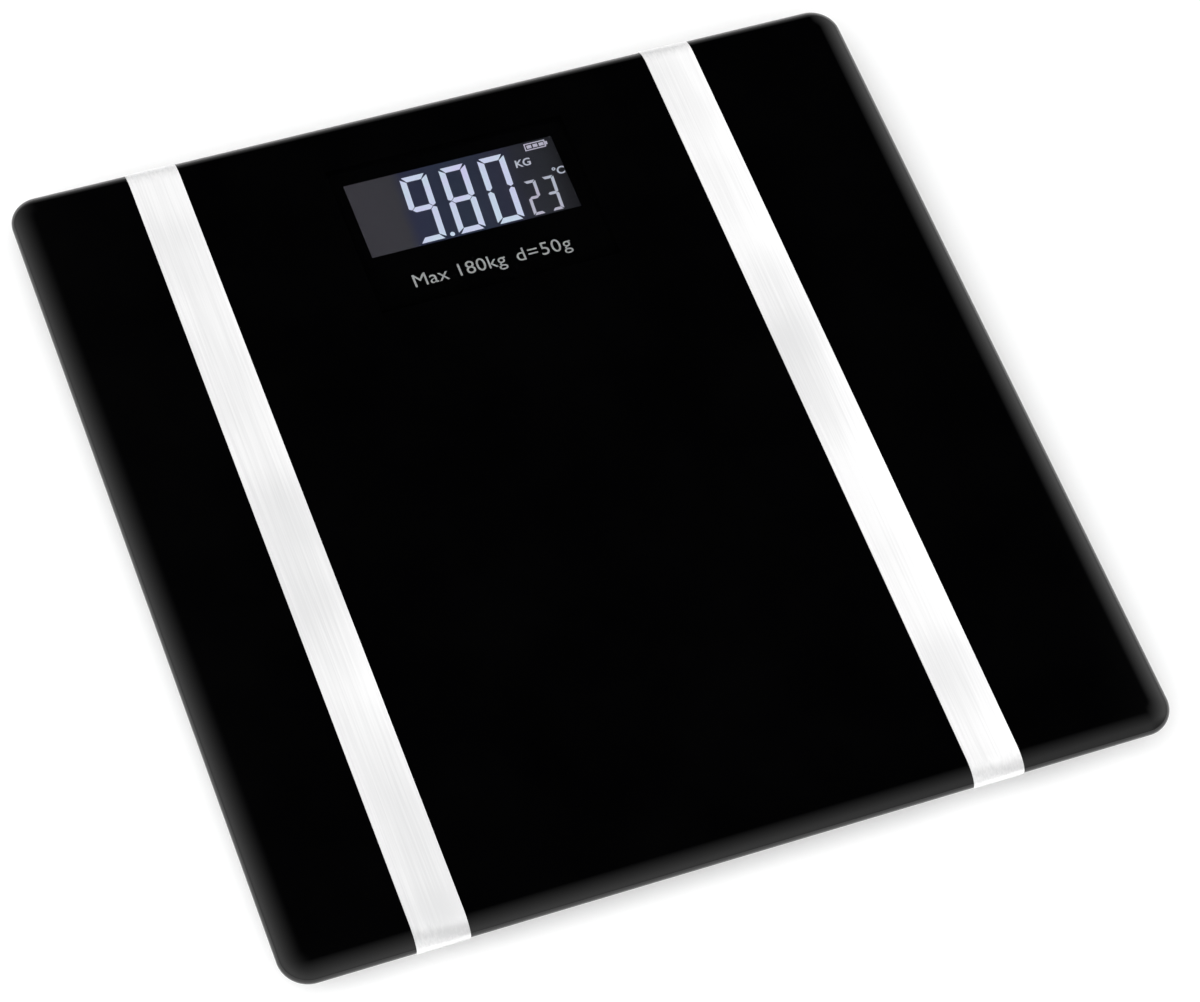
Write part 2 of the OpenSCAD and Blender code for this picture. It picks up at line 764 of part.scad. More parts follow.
module electrode_leads() {
    // from the end of each strip, under the glass, to the board's underside
    joint_y = glass_w / 2 - strip_return_rear + 2;
    strip_z = print_bottom - strip_t - lead_d / 2;
    board_lead_z = board_z - lead_d / 2;
    color([0.1, 0.1, 0.1]) {
        lead([[-93, joint_y, strip_z], [-84, joint_y, strip_z], [-68, 124, board_lead_z],
              [-45, 117, board_lead_z]]);
        lead([[81, joint_y, strip_z], [76, joint_y, strip_z], [62, 124, board_lead_z],
              [42, 117, board_lead_z]]);
    }
}

// Small bridges on the tray's floor that hold the long leads down
module lead_clips() {
    inner_w = 7;
    clip_d = 5;
    top = lead_z + 1.4;
    color([0.13, 0.13, 0.14])
        for (x = [-long_lead_x, long_lead_x], y = [-42, 4, 48]) translate([x, y, 0]) difference() {
            translate([-inner_w / 2 - 1, -clip_d / 2, tray_floor])
                cube([inner_w + 2, clip_d, top - tray_floor + 1]);
            translate([-inner_w / 2, -clip_d / 2 - 1, tray_floor - touch])
                cube([inner_w, clip_d + 2, top - tray_floor + touch]);
        }
}

// ---- batteries ----

// A cell lies beside the middle, on side s, with its positive nub towards s too
module battery(s) {
    color([0.75, 0.6, 0.15])
        translate([s * nub_tip_x, bay_y + s * cell_step, cell_z]) rotate([0, -90 * s, 0]) {
            translate([0, 0, nub_l]) cylinder(d = cell_d, h = cell_l - nub_l);
            cylinder(d = nub_d, h = nub_l + touch);
        }
}

function helix(r0, r1, length, turns, n) =
    [for (i = [0:n]) let (t = i / n, r = r0 + (r1 - r0) * t, a = 360 * turns * t)
        [r * cos(a), r * sin(a), length * t]];

module battery_springs() {
    room = contact_face_x - (cell_l - nub_tip_x) - spring_wire;
    color("silver") for (s = [-1, 1])
        translate([-s * (contact_face_x - spring_wire / 2), bay_y + s * cell_step, cell_z])
            rotate([0, s * 90, 0]) swept(helix(3.6, 1.8, room, spring_turns, 44), spring_wire, 6);
}

module positive_contacts() {
    // a raised button on each plate that a cell's nub meets
    color([0.8, 0.8, 0.78]) for (s = [-1, 1])
        translate([s * nub_tip_x, bay_y + s * cell_step, cell_z]) rotate([0, s * 90, 0])
            cylinder(d = 6, h = contact_face_x - nub_tip_x);
}

module contact_plates() {
    plate_w = cell_d - 1.4;
    plate_z = cell_z - plate_h / 2;
    bridge_w = 4;
    bridge_h = 3;
    color([0.8, 0.8, 0.78]) {
        for (s = [-1, 1], x = [contact_face_x, -contact_face_x - contact_t])
            translate([x, bay_y + s * cell_step - plate_w / 2, plate_z]) cube([contact_t, plate_w, plate_h]);
        // the bridge that joins the two plates on the right
        translate([contact_face_x, bay_y - bridge_w / 2, cell_z - bridge_h / 2])
            cube([contact_t, bridge_w, bridge_h]);
    }
}

module battery_door() {
    color([0.06, 0.06, 0.065]) difference() {
        union() {
            translate([-door_l / 2, hinge_y, tray_bottom])
                cube([door_l, door_far_y - hinge_y, door_t]);
            translate([-door_l / 2, hinge_y, hinge_z]) rotate([0, 90, 0]) cylinder(r = hinge_r, h = door_l);
            translate([-door_l / 2 - hinge_pin_l, hinge_y, hinge_z]) rotate([0, 90, 0])
                cylinder(r = hinge_pin_r, h = door_l + 2 * hinge_pin_l);
            // ridge between the cells
            translate([-door_ridge_l / 2, bay_y - door_ridge_h / 2, tray_bottom + door_t - touch])
                cube([door_ridge_l, door_ridge_h, door_ridge_h + touch]);
            // snap ridge along the latch tongue
            translate([-latch_w / 2 + 1, door_far_y, tray_bottom + door_t / 2]) rotate([0, 90, 0])
                cylinder(r = snap_r, h = latch_w - 2);
        }
        // slots that free the latch tongue
        for (s = [-1, 1])
            translate([s * latch_w / 2 - latch_slot / 2, door_far_y - latch_l, tray_bottom - 1])
                cube([latch_slot, latch_l + 1, door_t + 2]);
        // grip grooves across the latch tongue
        for (i = [1:3])
            translate([-latch_w / 2 + 2, door_far_y - latch_l + grip_pitch * i, tray_bottom - touch])
                cube([latch_w - 4, grip_w, grip_h]);
    }
}

// ---- nodes ----

glass_platform();
back_print();
electrode_strip(left_strip_x);  // left_electrode_strip
electrode_strip(right_strip_x);  // right_electrode_strip
mounting_tape();
base_tray();
tray_screws();
display_gasket();
lcd_panel();
backlight_panel();
display_frame();
zebra_connectors();
circuit_board();
controller_blob();
board_components();
lead_headers();
temperature_sensor();
board_screws();
switch_body();
switch_stem();
unit_button();
for (c = CORNERS) at_corner(c) load_cell_holder();
for (c = CORNERS) at_corner(c) load_cell();
for (c = CORNERS) at_corner(c) foot_cap();
for (c = CORNERS) at_corner(c) foot_pad();
gauge_seals();
leads_front_left();
leads_front_right();
leads_rear_left();
leads_rear_right();
battery(-1);  // battery_front
battery(1);  // battery_rear
battery_springs();
positive_contacts();
contact_plates();
battery_leads();
electrode_leads();
lead_clips();
battery_door();
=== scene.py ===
"""Digital bathroom scale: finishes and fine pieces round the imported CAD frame.

Metres, +Z up, +Y to the display end. Sizes come from the frame's own nodes, and what the frame
doesn't hold, such as a digit's stroke, is a named value here.
"""
import json
import math

import bmesh
import bpy
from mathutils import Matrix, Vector


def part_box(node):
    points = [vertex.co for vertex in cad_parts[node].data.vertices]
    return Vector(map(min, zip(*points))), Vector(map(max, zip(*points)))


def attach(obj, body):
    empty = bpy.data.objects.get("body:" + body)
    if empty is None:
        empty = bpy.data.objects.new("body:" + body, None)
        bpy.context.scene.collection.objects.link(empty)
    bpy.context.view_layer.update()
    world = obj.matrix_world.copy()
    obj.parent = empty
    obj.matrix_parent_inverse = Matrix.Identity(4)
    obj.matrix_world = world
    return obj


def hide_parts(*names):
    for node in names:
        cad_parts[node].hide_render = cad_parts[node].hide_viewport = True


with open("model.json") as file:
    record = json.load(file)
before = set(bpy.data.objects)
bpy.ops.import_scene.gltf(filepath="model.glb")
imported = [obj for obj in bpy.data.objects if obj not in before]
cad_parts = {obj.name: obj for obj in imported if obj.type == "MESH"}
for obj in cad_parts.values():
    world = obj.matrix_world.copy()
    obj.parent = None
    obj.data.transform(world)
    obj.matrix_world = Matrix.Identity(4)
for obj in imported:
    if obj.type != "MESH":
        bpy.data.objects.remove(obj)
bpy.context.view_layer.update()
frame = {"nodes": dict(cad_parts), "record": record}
nodes = frame["nodes"]
scene = bpy.context.scene
MM = 0.001

CORNERS = ["front_left", "front_right", "rear_left", "rear_right"]

# ---- where things are, from the frame ----

glass_lo, glass_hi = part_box("glass_platform")
lcd_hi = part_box("lcd_panel")[1]
GLASS_HALF = glass_hi.x
GLASS_TOP = glass_hi.z
GLASS_BOTTOM = glass_lo.z
GLASS_CORNER_R = 10 * MM
EDGE_FALL_W = 8 * MM
EDGE_FALL_H = 4.2 * MM
EDGE_UNDER_R = 1.4 * MM
STRIP_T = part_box("left_electrode_strip")[1].z - GLASS_TOP
PRINT_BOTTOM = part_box("back_print")[0].z

# the window in the black print: the display gasket's opening is a millimetre wider than it
gasket_lo, gasket_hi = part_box("display_gasket")
WINDOW_X = (gasket_lo.x + gasket_hi.x) / 2
WINDOW_Y = (gasket_lo.y + gasket_hi.y) / 2
WINDOW_W = 75 * MM
WINDOW_D = 30.5 * MM


# ---- mesh helpers ----

SHARP_ANGLE = math.radians(40)


def mesh_piece(name, verts, faces, material, smooth=True):
    """A mesh object from points and faces, with its faces turned outwards."""
    mesh = bpy.data.meshes.new(name)
    mesh.from_pydata([tuple(v) for v in verts], [], faces)
    mesh.materials.append(material)
    for polygon in mesh.polygons:
        polygon.use_smooth = smooth
    mesh.validate()
    bm = bmesh.new()
    bm.from_mesh(mesh)
    bmesh.ops.recalc_face_normals(bm, faces=bm.faces)
    bm.to_mesh(mesh)
    bm.free()
    obj = bpy.data.objects.new(name, mesh)
    scene.collection.objects.link(obj)
    return obj


def rounded_outline(half_x, half_y, r, steps):
    """Points of a rounded rectangle, counter-clockwise from its +X side."""
    points = []
    for quarter, (sx, sy) in enumerate([(1, 1), (-1, 1), (-1, -1), (1, -1)]):
        for i in range(steps + 1):
            a = math.radians(90 * quarter + 90 * i / steps)
            points.append((sx * (half_x - r) + r * math.cos(a), sy * (half_y - r) + r * math.sin(a)))
    return points


def arc(cx, cz, rx, rz, start, end, steps):
    angles = [math.radians(start + (end - start) * i / steps) for i in range(steps + 1)]
    return [(cx + rx * math.cos(a), cz + rz * math.sin(a)) for a in angles]


def loft(rings):
    """Vertices and faces of a closed skin through rings with the same number of points."""
    count = len(rings[0])
    verts = [p for ring in rings for p in ring]
    faces = []
    for i in range(len(rings) - 1):
        for k in range(count):
            j = (k + 1) % count
            faces.append([i * count + k, i * count + j, (i + 1) * count + j, (i + 1) * count + k])
    faces.append(list(range(count - 1, -1, -1)))
    faces.append([(len(rings) - 1) * count + k for k in range(count)])
    return verts, faces


def smooth_by_angle(obj):
    for polygon in obj.data.polygons:
        polygon.use_smooth = True
    obj.data.set_sharp_from_angle(angle=SHARP_ANGLE)


def place(obj, body, slot, *replaced):
    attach(obj, body)
    if replaced:
        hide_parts(*replaced)
    return obj


# ---- material helpers ----

def node_material(name):
    material = bpy.data.materials.new(name)
    material.use_nodes = True
    tree = material.node_tree
    return material, tree, tree.nodes["Principled BSDF"]


def noise(tree, scale, detail=4, stretch=(1, 1, 1), rough=0.55):
    """A noise value in object space, in features per metre, stretched along each axis."""
    coords = tree.nodes.new("ShaderNodeTexCoord")
    mapping = tree.nodes.new("ShaderNodeMapping")
    mapping.inputs["Scale"].default_value = stretch
    texture = tree.nodes.new("ShaderNodeTexNoise")
    texture.inputs["Scale"].default_value = scale
    texture.inputs["Detail"].default_value = detail
    texture.inputs["Roughness"].default_value = rough
    tree.links.new(coords.outputs["Object"], mapping.inputs["Vector"])
    tree.links.new(mapping.outputs["Vector"], texture.inputs["Vector"])
    return texture.outputs["Fac"]


def ramp(tree, value, stops):
    """A colour ramp over value, from stops of (position, colour)."""
    node = tree.nodes.new("ShaderNodeValToRGB")
    elements = node.color_ramp.elements
    while len(elements) < len(stops):
        elements.new(0.5)
    for element, (position, colour) in zip(elements, stops):
        element.position = position
        element.color = (*colour, 1)
    tree.links.new(value, node.inputs["Fac"])
    return node.outputs["Color"]


def spread(tree, value, low, high, from_low=0.3, from_high=0.7):
    node = tree.nodes.new("ShaderNodeMapRange")
    node.inputs["From Min"].default_value = from_low
    node.inputs["From Max"].default_value = from_high
    node.inputs["To Min"].default_value = low
    node.inputs["To Max"].default_value = high
    tree.links.new(value, node.inputs["Value"])
    return node.outputs["Result"]


def maths(tree, operation, a, b):
    node = tree.nodes.new("ShaderNodeMath")
    node.operation = operation
    for socket, value in zip(node.inputs, (a, b)):
        if isinstance(value, (int, float)):
            socket.default_value = value
        else:
            tree.links.new(value, socket)
    return node.outputs["Value"]


def bump(tree, shader, height, strength, distance):
    node = tree.nodes.new("ShaderNodeBump")
    node.inputs["Strength"].default_value = strength
    node.inputs["Distance"].default_value = distance
    tree.links.new(height, node.inputs["Height"])
    tree.links.new(node.outputs["Normal"], shader.inputs["Normal"])


def shade(colour, factor):
    return tuple(c * factor for c in colour)


def textured(name, colour, roughness, variation=0.12, rough_spread=0.06, grain=900, grain_depth=0.00004,
             grain_strength=0.25, metallic=0.0, stretch=(1, 1, 1), specular=0.5, patch=60):
    """The common moulded or plated finish: a little mottling, uneven gloss and a fine grain."""
    material, tree, shader = node_material(name)
    shader.inputs["Metallic"].default_value = metallic
    shader.inputs["Specular IOR Level"].default_value = specular
    mottle = noise(tree, patch, 5, stretch)
    colours = ramp(tree, mottle, [(0.3, shade(colour, 1 - variation)), (0.7, shade(colour, 1 + variation))])
    tree.links.new(colours, shader.inputs["Base Color"])
    uneven = noise(tree, patch * 3, 3, stretch)
    rough = spread(tree, uneven, roughness - rough_spread, roughness + rough_spread)
    tree.links.new(rough, shader.inputs["Roughness"])
    bump(tree, shader, noise(tree, grain, 2, stretch), grain_strength, grain_depth)
    return material


GLASS_IOR = 1.5


def black_glass():
    """Glass with black enamel behind it: deep black, with a polished face and a trace of wipe marks."""
    material, tree, shader = node_material("black_glass")
    shader.inputs["IOR"].default_value = GLASS_IOR
    wipe = noise(tree, 14, 4, (1, 0.35, 1))
    tree.links.new(spread(tree, wipe, 0.015, 0.05), shader.inputs["Roughness"])
    tint = ramp(tree, noise(tree, 30, 3), [(0.3, (0.0004, 0.0004, 0.0005)), (0.7, (0.0008, 0.0008, 0.0009))])
    tree.links.new(tint, shader.inputs["Base Color"])
    return material


def clear_glass():
    """The unprinted glass over the display. Lamps shine through it."""
    material, tree, shader = node_material("clear_glass")
    shader.inputs["IOR"].default_value = GLASS_IOR
    shader.inputs["Base Color"].default_value = (0.93, 0.95, 0.95, 1)
    shader.inputs["Transmission Weight"].default_value = 1
    tree.links.new(spread(tree, noise(tree, 14, 4, (1, 0.35, 1)), 0.0, 0.012), shader.inputs["Roughness"])
    through = tree.nodes.new("ShaderNodeBsdfTransparent")
    through.inputs["Color"].default_value = (0.9, 0.92, 0.92, 1)
    path = tree.nodes.new("ShaderNodeLightPath")
    mix = tree.nodes.new("ShaderNodeMixShader")
    tree.links.new(path.outputs["Is Shadow Ray"], mix.inputs["Fac"])
    tree.links.new(shader.outputs["BSDF"], mix.inputs[1])
    tree.links.new(through.outputs["BSDF"], mix.inputs[2])
    tree.links.new(mix.outputs["Shader"], tree.nodes["Material Output"].inputs["Surface"])
    return material


def bonded_face():
    """The underside of the clear glass, which the ink and display meet without a gap."""
    material, tree, shader = node_material("bonded_face")
    tree.nodes.remove(shader)
    through = tree.nodes.new("ShaderNodeBsdfTransparent")
    tree.links.new(through.outputs["BSDF"], tree.nodes["Material Output"].inputs["Surface"])
    return material


def brushed_steel():
    """Satin stainless foil, brushed along the strip."""
    material, tree, shader = node_material("brushed_steel")
    shader.inputs["Metallic"].default_value = 0.85
    lines = noise(tree, 1500, 3, (1, 0.012, 1), 0.6)
    cloud = noise(tree, 14, 2, (0.6, 1, 1))
    tone = maths(tree, "ADD", maths(tree, "MULTIPLY", lines, 0.35), maths(tree, "MULTIPLY", cloud, 0.65))
    colours = ramp(tree, tone, [(0.40, (0.76, 0.76, 0.765)), (0.58, (0.93, 0.928, 0.93))])
    tree.links.new(colours, shader.inputs["Base Color"])
    tree.links.new(spread(tree, cloud, 0.36, 0.44), shader.inputs["Roughness"])
    bump(tree, shader, lines, 0.12, 0.00001)
    return material


MATERIALS = {
    "back_print": textured("black_enamel", (0.0008, 0.0008, 0.0009), 0.5, grain=400, specular=0.0),
    "electrode_steel": brushed_steel(),
    "foam_tape": textured("foam_tape", (0.03, 0.03, 0.032), 0.9, grain=2500, grain_depth=0.0002,
                          grain_strength=0.8),
    "tray_plastic": textured("black_abs", (0.013, 0.013, 0.014), 0.52, 0.05, 0.03, grain=3200,
                             grain_depth=0.00006, grain_strength=0.4, patch=25, specular=0.35),
    "plated_steel": textured("plated_steel", (0.42, 0.41, 0.39), 0.34, 0.08, 0.08, metallic=1.0, grain=900),
    "gasket_foam": textured("gasket_foam", (0.02, 0.02, 0.02), 0.9, grain=2500),
    "light_guide": textured("light_guide", (0.75, 0.80, 0.92), 0.35, 0.03),
    "frame_plastic": textured("white_abs", (0.72, 0.72, 0.69), 0.4, 0.03),
    "conductive_rubber": textured("conductive_rubber", (0.45, 0.22, 0.28), 0.6, 0.5, stretch=(25, 1, 1)),
    "board_laminate": textured("solder_mask", (0.015, 0.14, 0.055), 0.3, 0.25, patch=300, grain=1800),
    "epoxy": textured("epoxy_drop", (0.008, 0.008, 0.009), 0.18, 0.2, patch=150),
    "component_bodies": textured("component_body", (0.30, 0.22, 0.13), 0.45, 0.4, patch=500),
    "header_plastic": textured("ivory_nylon", (0.78, 0.73, 0.60), 0.5, 0.05),
    "sensor_bead": textured("sensor_bead", (0.04, 0.08, 0.06), 0.2, 0.2),
    "switch_plastic": textured("switch_nylon", (0.03, 0.03, 0.032), 0.5),
    "button_plastic": textured("grey_abs", (0.20, 0.20, 0.205), 0.45, 0.06, grain=2600),
    "holder_plastic": textured("glass_filled_nylon", (0.06, 0.06, 0.063), 0.6, 0.2, patch=200),
    "load_cell_steel": textured("nickel_plate", (0.60, 0.58, 0.54), 0.3, 0.08, 0.08, metallic=1.0),
    "silicone_seal": textured("white_silicone", (0.78, 0.78, 0.76), 0.45, 0.05),
    "lead_red": textured("red_pvc", (0.40, 0.015, 0.015), 0.35, 0.1),
    "lead_black": textured("black_pvc", (0.015, 0.015, 0.015), 0.35, 0.1),
    "foot_plastic": textured("foot_abs", (0.018, 0.018, 0.019), 0.42, 0.06, 0.04, grain=2600),
    "foot_rubber": textured("grey_rubber", (0.17, 0.17, 0.173), 0.85, 0.10, grain=1800, grain_depth=0.0001,
                            grain_strength=0.5, patch=220, specular=0.3),
    "cell_jacket": textured("cell_jacket", (0.10, 0.13, 0.18), 0.3, 0.05, metallic=0.4),
}


SHOWN = ["base_tray", "battery_door", "unit_button", "tray_screws"]
SHOWN += [kind + corner for kind in ("foot_", "pad_") for corner in CORNERS]
BROKEN_EDGE = 0.2 * MM


def break_edges(obj):
    """Smooth round faces, and edges broken a little so that they catch the light."""
    weld = obj.modifiers.new("weld", "WELD")
    weld.merge_threshold = 0.001 * MM
    bevel = obj.modifiers.new("broken_edges", "BEVEL")
    bevel.width = BROKEN_EDGE
    bevel.segments = 2
    bevel.limit_method = "ANGLE"
    bevel.angle_limit = SHARP_ANGLE
    smooth_by_angle(obj)
    flats = obj.modifiers.new("flat_faces_stay_flat", "WEIGHTED_NORMAL")
    flats.keep_sharp = True
    flats.weight = 100


def finish_cad_nodes():
    """Gives each node that stays its slot's finish, and breaks the edges of the ones that show."""
    slots = {part["node"]: part["material_slot"] for part in frame["record"]["subparts"]}
    for name, obj in nodes.items():
        material = MATERIALS.get(slots[name])
        if material:
            obj.data.materials.clear()
            obj.data.materials.append(material)
        if name in SHOWN:
            break_edges(obj)


# ---- camera, light and floor ----

# the camera that fits the platform's outline in the photograph: degrees, metres, and mm for the lens
AZIMUTH = -29.84
ELEVATION = 58.35
ROLL = 10.89
DISTANCE = 1.3378
LENS = 123.1
AIM_RIGHT = 6.43 * MM      # the photograph's framing: how far the view's middle lies from the
AIM_UP = -15.38 * MM       # platform's middle, along the camera's own right and up


def camera_axes():
    az, el, roll = (math.radians(a) for a in (AZIMUTH, ELEVATION, ROLL))
    back = Vector((math.sin(az) * math.cos(el), -math.cos(az) * math.cos(el), math.sin(el)))
    level = Vector((0, 0, 1)).cross(back).normalized()
    above = back.cross(level)
    right = math.cos(roll) * level + math.sin(roll) * above
    up = -math.sin(roll) * level + math.cos(roll) * above
    return right, up, back


def make_camera():
    right, up, back = camera_axes()
    data = bpy.data.cameras.new("camera")
    data.sensor_width = 36
    data.lens = LENS
    data.clip_start = 0.01
    camera = bpy.data.objects.new("camera", data)
    scene.collection.objects.link(camera)
    basis = camera.matrix_world.copy()
    for column, axis in enumerate((right, up, back)):
        for row in range(3):
            basis[row][column] = axis[row]
    position = Vector((0, 0, GLASS_TOP)) + right * AIM_RIGHT + up * AIM_UP + back * DISTANCE
    for row in range(3):
        basis[row][3] = position[row]
    camera.matrix_world = basis
    scene.camera = camera


# Flat glass mirrors this direction to the camera, and the studio is black there. It brightens to
# the left, the right and the front, and along the horizon: (gain, where it starts, power).
MIRRORED = Vector((-camera_axes()[2].x, -camera_axes()[2].y, camera_axes()[2].z))
LEFT_GLOW = (1.06, -0.20, 1.6)
RIGHT_GLOW = (2.20, 0.36, 1.0)
FRONT_GLOW = (0.95, -0.15, 1.0)
HORIZON_GLOW = (2.6, 0.40, 1.3)
LOW_DIM = 0.6               # the sides are this much of full brightness at the horizon
LOW_TOP = 0.3               # and all of it from this height up
CORNER_DIM = 0.3            # the front right corner is this much of full brightness at its middle
CORNER_FADE = (0.2, 0.5)    # it fades over these values of right times front
SIDE_LIMIT = 1.15
HORIZON_LIMIT = 0.8


def glow(tree, past, gain, power):
    """Light that grows from nothing where past is zero."""
    return maths(tree, "MULTIPLY", maths(tree, "POWER", maths(tree, "MAXIMUM", past, 0), power), gain)


def make_world():
    """A white studio that is black where the glass looks. The camera itself sees plain white."""
    world = bpy.data.worlds.new("studio")
    scene.world = world
    world.use_nodes = True
    tree = world.node_tree
    background = tree.nodes["Background"]
    background.inputs["Color"].default_value = (1, 1, 1, 1)
    coords = tree.nodes.new("ShaderNodeTexCoord")
    axes = tree.nodes.new("ShaderNodeSeparateXYZ")
    tree.links.new(coords.outputs["Generated"], axes.inputs["Vector"])
    x, y, z = (axes.outputs[k] for k in "XYZ")
    squares = None
    for value, sign, (gain, start, power) in ((x, -1, LEFT_GLOW), (x, 1, RIGHT_GLOW), (y, -1, FRONT_GLOW)):
        past = maths(tree, "SUBTRACT", maths(tree, "MULTIPLY", value, sign), start)
        square = maths(tree, "POWER", glow(tree, past, gain, power), 2)
        squares = maths(tree, "ADD", squares, square) if squares else square
    around = maths(tree, "MINIMUM", maths(tree, "POWER", squares, 0.5), SIDE_LIMIT)
    right = maths(tree, "MAXIMUM", x, 0)
    front = maths(tree, "MAXIMUM", maths(tree, "MULTIPLY", y, -1), 0)
    corner = spread(tree, maths(tree, "MULTIPLY", right, front), 1, CORNER_DIM, *CORNER_FADE)
    around = maths(tree, "MULTIPLY", around, corner)
    low = spread(tree, z, LOW_DIM, 1, 0, LOW_TOP)
    gain, top, power = HORIZON_GLOW
    horizon = glow(tree, maths(tree, "SUBTRACT", top, z), gain, power)
    sides = maths(tree, "MULTIPLY", around, low)
    studio = maths(tree, "MAXIMUM", sides, maths(tree, "MINIMUM", horizon, HORIZON_LIMIT))
    path = tree.nodes.new("ShaderNodeLightPath")
    mix = tree.nodes.new("ShaderNodeMix")
    tree.links.new(path.outputs["Is Camera Ray"], mix.inputs["Factor"])
    tree.links.new(studio, mix.inputs["A"])
    mix.inputs["B"].default_value = 1.0
    tree.links.new(mix.outputs["Result"], background.inputs["Strength"])


def area_light(name, direction, distance, size, radiance, mirrored=False):
    """A square lamp that faces the object, with its brightness given as radiance."""
    data = bpy.data.lights.new(name, "AREA")
    data.shape = "SQUARE"
    data.size = size
    data.energy = radiance * math.pi * size * size
    lamp = bpy.data.objects.new(name, data)
    scene.collection.objects.link(lamp)
    towards = Vector(direction).normalized()
    lamp.location = Vector((0, 0, GLASS_TOP)) + towards * distance
    lamp.rotation_euler = towards.to_track_quat("Z", "Y").to_euler()
    lamp.visible_glossy = mirrored
    return lamp


FLOOR_HALF = 4
FLOOR_GLOW = (0.12, 0.95, 0.7, 2.4)    # near and far glow, and where the one turns into the other


def make_floor():
    material, tree, shader = node_material("floor")
    shader.inputs["Roughness"].default_value = 0.9
    shader.inputs["Specular IOR Level"].default_value = 0.1
    tone = ramp(tree, noise(tree, 3, 3), [(0.3, (0.90, 0.90, 0.90)), (0.7, (0.92, 0.92, 0.92))])
    tree.links.new(tone, shader.inputs["Base Color"])
    coords = tree.nodes.new("ShaderNodeTexCoord")
    away = tree.nodes.new("ShaderNodeVectorMath")
    away.operation = "LENGTH"
    tree.links.new(coords.outputs["Object"], away.inputs[0])
    shader.inputs["Emission Color"].default_value = (1, 1, 1, 1)
    tree.links.new(spread(tree, away.outputs["Value"], *FLOOR_GLOW), shader.inputs["Emission Strength"])
    corners = [(sx * FLOOR_HALF, sy * FLOOR_HALF, 0) for sx, sy in ((-1, -1), (1, -1), (1, 1), (-1, 1))]
    mesh_piece("floor", corners, [[0, 1, 2, 3]], material)


# ---- the glass ----

UNDER_STEPS = 8
FALL_STEPS = 32
CORNER_STEPS = 24


def glass_profile():
    """The platform's edge from underside to top, as (distance out from a corner's axis, height)."""
    r = EDGE_UNDER_R
    under = arc(GLASS_CORNER_R - r, GLASS_BOTTOM + r, r, r, -90, 0, UNDER_STEPS)
    w, h = EDGE_FALL_W, EDGE_FALL_H
    fall = arc(GLASS_CORNER_R - w, GLASS_TOP - h, w, h, 0, 90, FALL_STEPS)
    return under + fall


CLEAR_MARGIN = 5 * MM       # the glass is clear this far past the window,
CLEAR_FRONT = 24 * MM       # and this far in front of it, over the printed line
PRINT_GAP = 0.02 * MM       # room for the ink between the glass and the print
FLAT_MARGIN_UNDER = 1 * MM  # a flat border next to each rounding keeps its shading off the flat face
FLAT_MARGIN_TOP = 0.5 * MM


def clear_patch():
    """Corners of the part of the glass that has no black print behind it."""
    x0, x1 = WINDOW_X - WINDOW_W / 2 - CLEAR_MARGIN, WINDOW_X + WINDOW_W / 2 + CLEAR_MARGIN
    y0, y1 = WINDOW_Y - WINDOW_D / 2 - CLEAR_FRONT, WINDOW_Y + WINDOW_D / 2 + CLEAR_MARGIN
    return [(x0, y0), (x1, y0), (x1, y1), (x0, y1)]


def make_glass():
    """The platform: black all round, with one clear patch that has no gap to what lies under it."""
    bm = bmesh.new()
    profile = [(out, max(z, GLASS_BOTTOM + PRINT_GAP)) for out, z in glass_profile()]
    first, last = profile[0], profile[-1]
    profile = [(first[0] - FLAT_MARGIN_UNDER, first[1])] + profile + [(last[0] - FLAT_MARGIN_TOP, last[1])]
    rings = []
    for out, z in profile:
        half = GLASS_HALF - GLASS_CORNER_R + out
        rings.append([bm.verts.new((x, y, z)) for x, y in rounded_outline(half, half, out, CORNER_STEPS)])
    for low, high in zip(rings, rings[1:]):
        for k in range(len(low)):
            j = (k + 1) % len(low)
            bm.faces.new((low[k], low[j], high[j], high[k]))
    for ring, material_index in ((rings[0], 2), (rings[-1], 1)):
        z = ring[0].co.z
        patch = [bm.verts.new((x, y, z)) for x, y in clear_patch()]
        edges = [bm.edges.get((a, b)) or bm.edges.new((a, b)) for a, b in zip(ring, ring[1:] + ring[:1])]
        edges += [bm.edges.new((a, b)) for a, b in zip(patch, patch[1:] + patch[:1])]
        bmesh.ops.triangle_fill(bm, edges=edges, use_beauty=True)
        middle = [f for f in bm.faces if all(v in patch for v in f.verts)]
        for face in middle or [bm.faces.new(patch)]:
            face.material_index = material_index
    bmesh.ops.recalc_face_normals(bm, faces=bm.faces)
    mesh = bpy.data.meshes.new("platform_glass")
    bm.to_mesh(mesh)
    bm.free()
    for polygon in mesh.polygons:
        polygon.use_smooth = True
    for material in (black_glass(), clear_glass(), bonded_face()):
        mesh.materials.append(material)
    glass = bpy.data.objects.new("platform_glass", mesh)
    scene.collection.objects.link(glass)
    place(glass, "platform", "platform_glass", "glass_platform")


# ---- electrode strips ----

STRIP_EDGE_R = 0.1 * MM
STRIP_RETURN_FRONT = 8 * MM     # how far the strip runs under the glass
STRIP_RETURN_REAR = 24 * MM
STRIP_TOP_STEPS = 8
STRIP_EDGE_STEPS = 3


def strip_path():
    """The glass's own outline in the YZ plane, from under the rear edge over to under the front."""
    reach = GLASS_HALF - GLASS_CORNER_R
    touching = GLASS_BOTTOM + 0.001 * MM    # the strip runs over the print, not the bare glass
    edge = [(reach + out, PRINT_BOTTOM if z <= touching else z) for out, z in glass_profile()]
    rear = [(GLASS_HALF - STRIP_RETURN_REAR, PRINT_BOTTOM)] + edge
    steps = STRIP_TOP_STEPS
    top = [(reach * k / steps, GLASS_TOP) for k in range(steps - 1, -steps, -1)]
    front = [(-y, z) for y, z in reversed(edge)] + [(-GLASS_HALF + STRIP_RETURN_FRONT, PRINT_BOTTOM)]
    return rear + top + front


